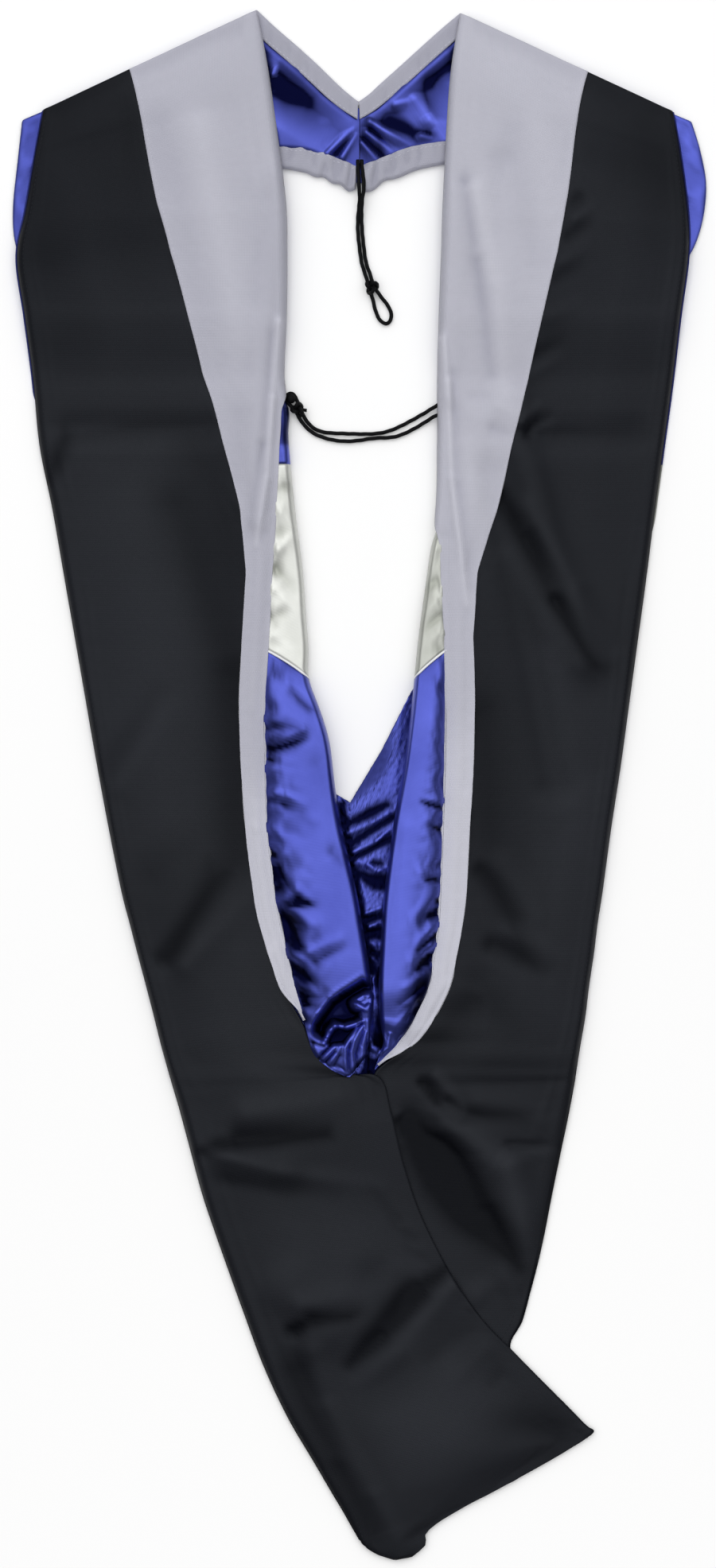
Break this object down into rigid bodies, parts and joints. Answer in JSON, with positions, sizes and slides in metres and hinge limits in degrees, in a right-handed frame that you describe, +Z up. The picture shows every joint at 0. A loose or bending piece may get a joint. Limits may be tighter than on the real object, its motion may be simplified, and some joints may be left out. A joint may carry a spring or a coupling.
{
  "type": "academic hood",
  "caption": "Academic hood laid flat: black shell with a pointed tail, grey velvet trim, blue satin lining with a silver chevron, and black cords.",
  "frame": {"origin": "middle of the hood's box as seen from above, on the surface it lies on, measured without the cords", "axes": "+Y from the tail to the shoulders, +X to the right of the picture, +Z up through the side worn at the back"},
  "size_m": [0.477, 1.0662, 0.0273],
  "materials": {
    "black_shell": "matt black woven cloth with a slight sheen",
    "grey_velvet": "short-pile velvet, pale lavender grey",
    "blue_satin": "glossy royal blue satin",
    "silver_satin": "glossy silver white satin",
    "white_piping": "white corded piping",
    "black_cord": "round black twisted cord"
  },
  "bodies": {
    "root": {"shell_left": "black_shell", "shell_right": "black_shell", "yoke_shell_left": "black_shell", "yoke_shell_right": "black_shell", "velvet_trim_left": "grey_velvet", "velvet_trim_right": "grey_velvet", "neckband_left": "grey_velvet", "neckband_right": "grey_velvet", "lining_upper_left": "blue_satin", "lining_upper_right": "blue_satin", "lining_lower_left": "blue_satin", "lining_lower_right": "blue_satin", "lining_centre": "blue_satin", "yoke_lining_left": "blue_satin", "yoke_lining_right": "blue_satin", "neckband_lining_left": "blue_satin", "neckband_lining_right": "blue_satin", "chevron_left": "silver_satin", "chevron_right": "silver_satin", "piping_left": "white_piping", "piping_right": "white_piping", "cord_front_left": "black_cord", "cord_front_right": "black_cord", "cord_front_loop": "black_cord", "cord_front_knot": "black_cord", "cord_back_upper": "black_cord", "cord_back_lower": "black_cord", "cord_back_knot": "black_cord", "cord_back_button": "black_cord"}
  },
  "joints": []
}
